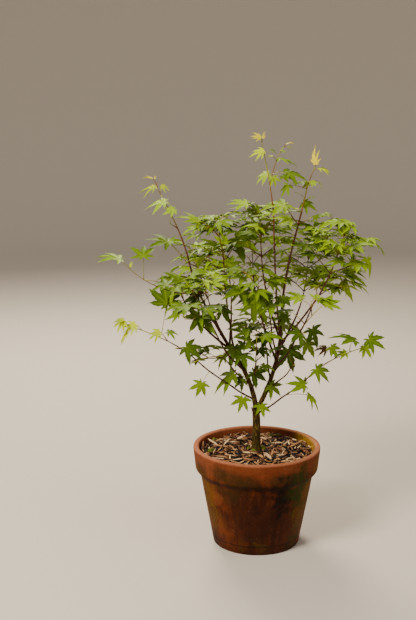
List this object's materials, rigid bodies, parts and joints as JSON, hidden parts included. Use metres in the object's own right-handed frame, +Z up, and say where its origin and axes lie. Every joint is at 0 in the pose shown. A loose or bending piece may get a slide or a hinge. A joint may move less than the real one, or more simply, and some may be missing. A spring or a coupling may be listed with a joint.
{
  "type": "potted japanese maple",
  "caption": "Young green Japanese maple with a forked trunk and an open leafy crown, planted in a round terracotta pot topped with bark mulch.",
  "frame": {"origin": "centre of the flat underside of the pot, on the surface it stands on", "axes": "+Z up along the trunk, -Y towards the viewer of the picture, +X to the viewer's right"},
  "size_m": [0.8014, 0.5707, 1.1247],
  "materials": {
    "terracotta": "unglazed fired clay, weathered, with moss and algae stains",
    "mulch": "loose bark chips over potting soil",
    "bark": "smooth olive-brown bark with fine cracks",
    "young_bark": "reddish brown young bark",
    "foliage": "satin green leaves on yellow-green stalks"
  },
  "bodies": {
    "root": {"pot": "terracotta", "mulch": "mulch", "trunk": "bark", "left_limb": "bark", "right_limb": "bark", "left_leader": "young_bark", "left_arm": "young_bark", "mid_left_bough": "young_bark", "left_upright": "young_bark", "left_back_bough": "young_bark", "left_front_bough": "young_bark", "lower_left_bough": "young_bark", "low_left_bough": "young_bark", "inner_spur": "young_bark", "centre_shoot": "young_bark", "right_leader": "young_bark", "right_arm": "young_bark", "right_arm_low": "young_bark", "right_back_bough": "young_bark", "centre_back_bough": "young_bark", "low_back_bough": "young_bark", "centre_bough": "young_bark", "right_front_bough": "young_bark", "centre_front_bough": "young_bark", "lower_right_bough": "young_bark", "low_right_bough": "young_bark", "fork_spur": "young_bark", "top_left_wisp": "foliage", "left_arm_spray": "foliage", "low_left_spray": "foliage", "upper_left_crown": "foliage", "mid_left_crown": "foliage", "left_back_crown": "foliage", "left_front_crown": "foliage", "lower_left_crown": "foliage", "inner_spray": "foliage", "centre_top_shoot": "foliage", "right_top_shoot": "foliage", "right_crown": "foliage", "right_mid_crown": "foliage", "right_back_crown": "foliage", "centre_back_crown": "foliage", "low_back_crown": "foliage", "centre_crown": "foliage", "right_front_crown": "foliage", "centre_front_crown": "foliage", "lower_right_crown": "foliage", "low_right_spray": "foliage", "fork_spray": "foliage"}
  },
  "joints": []
}
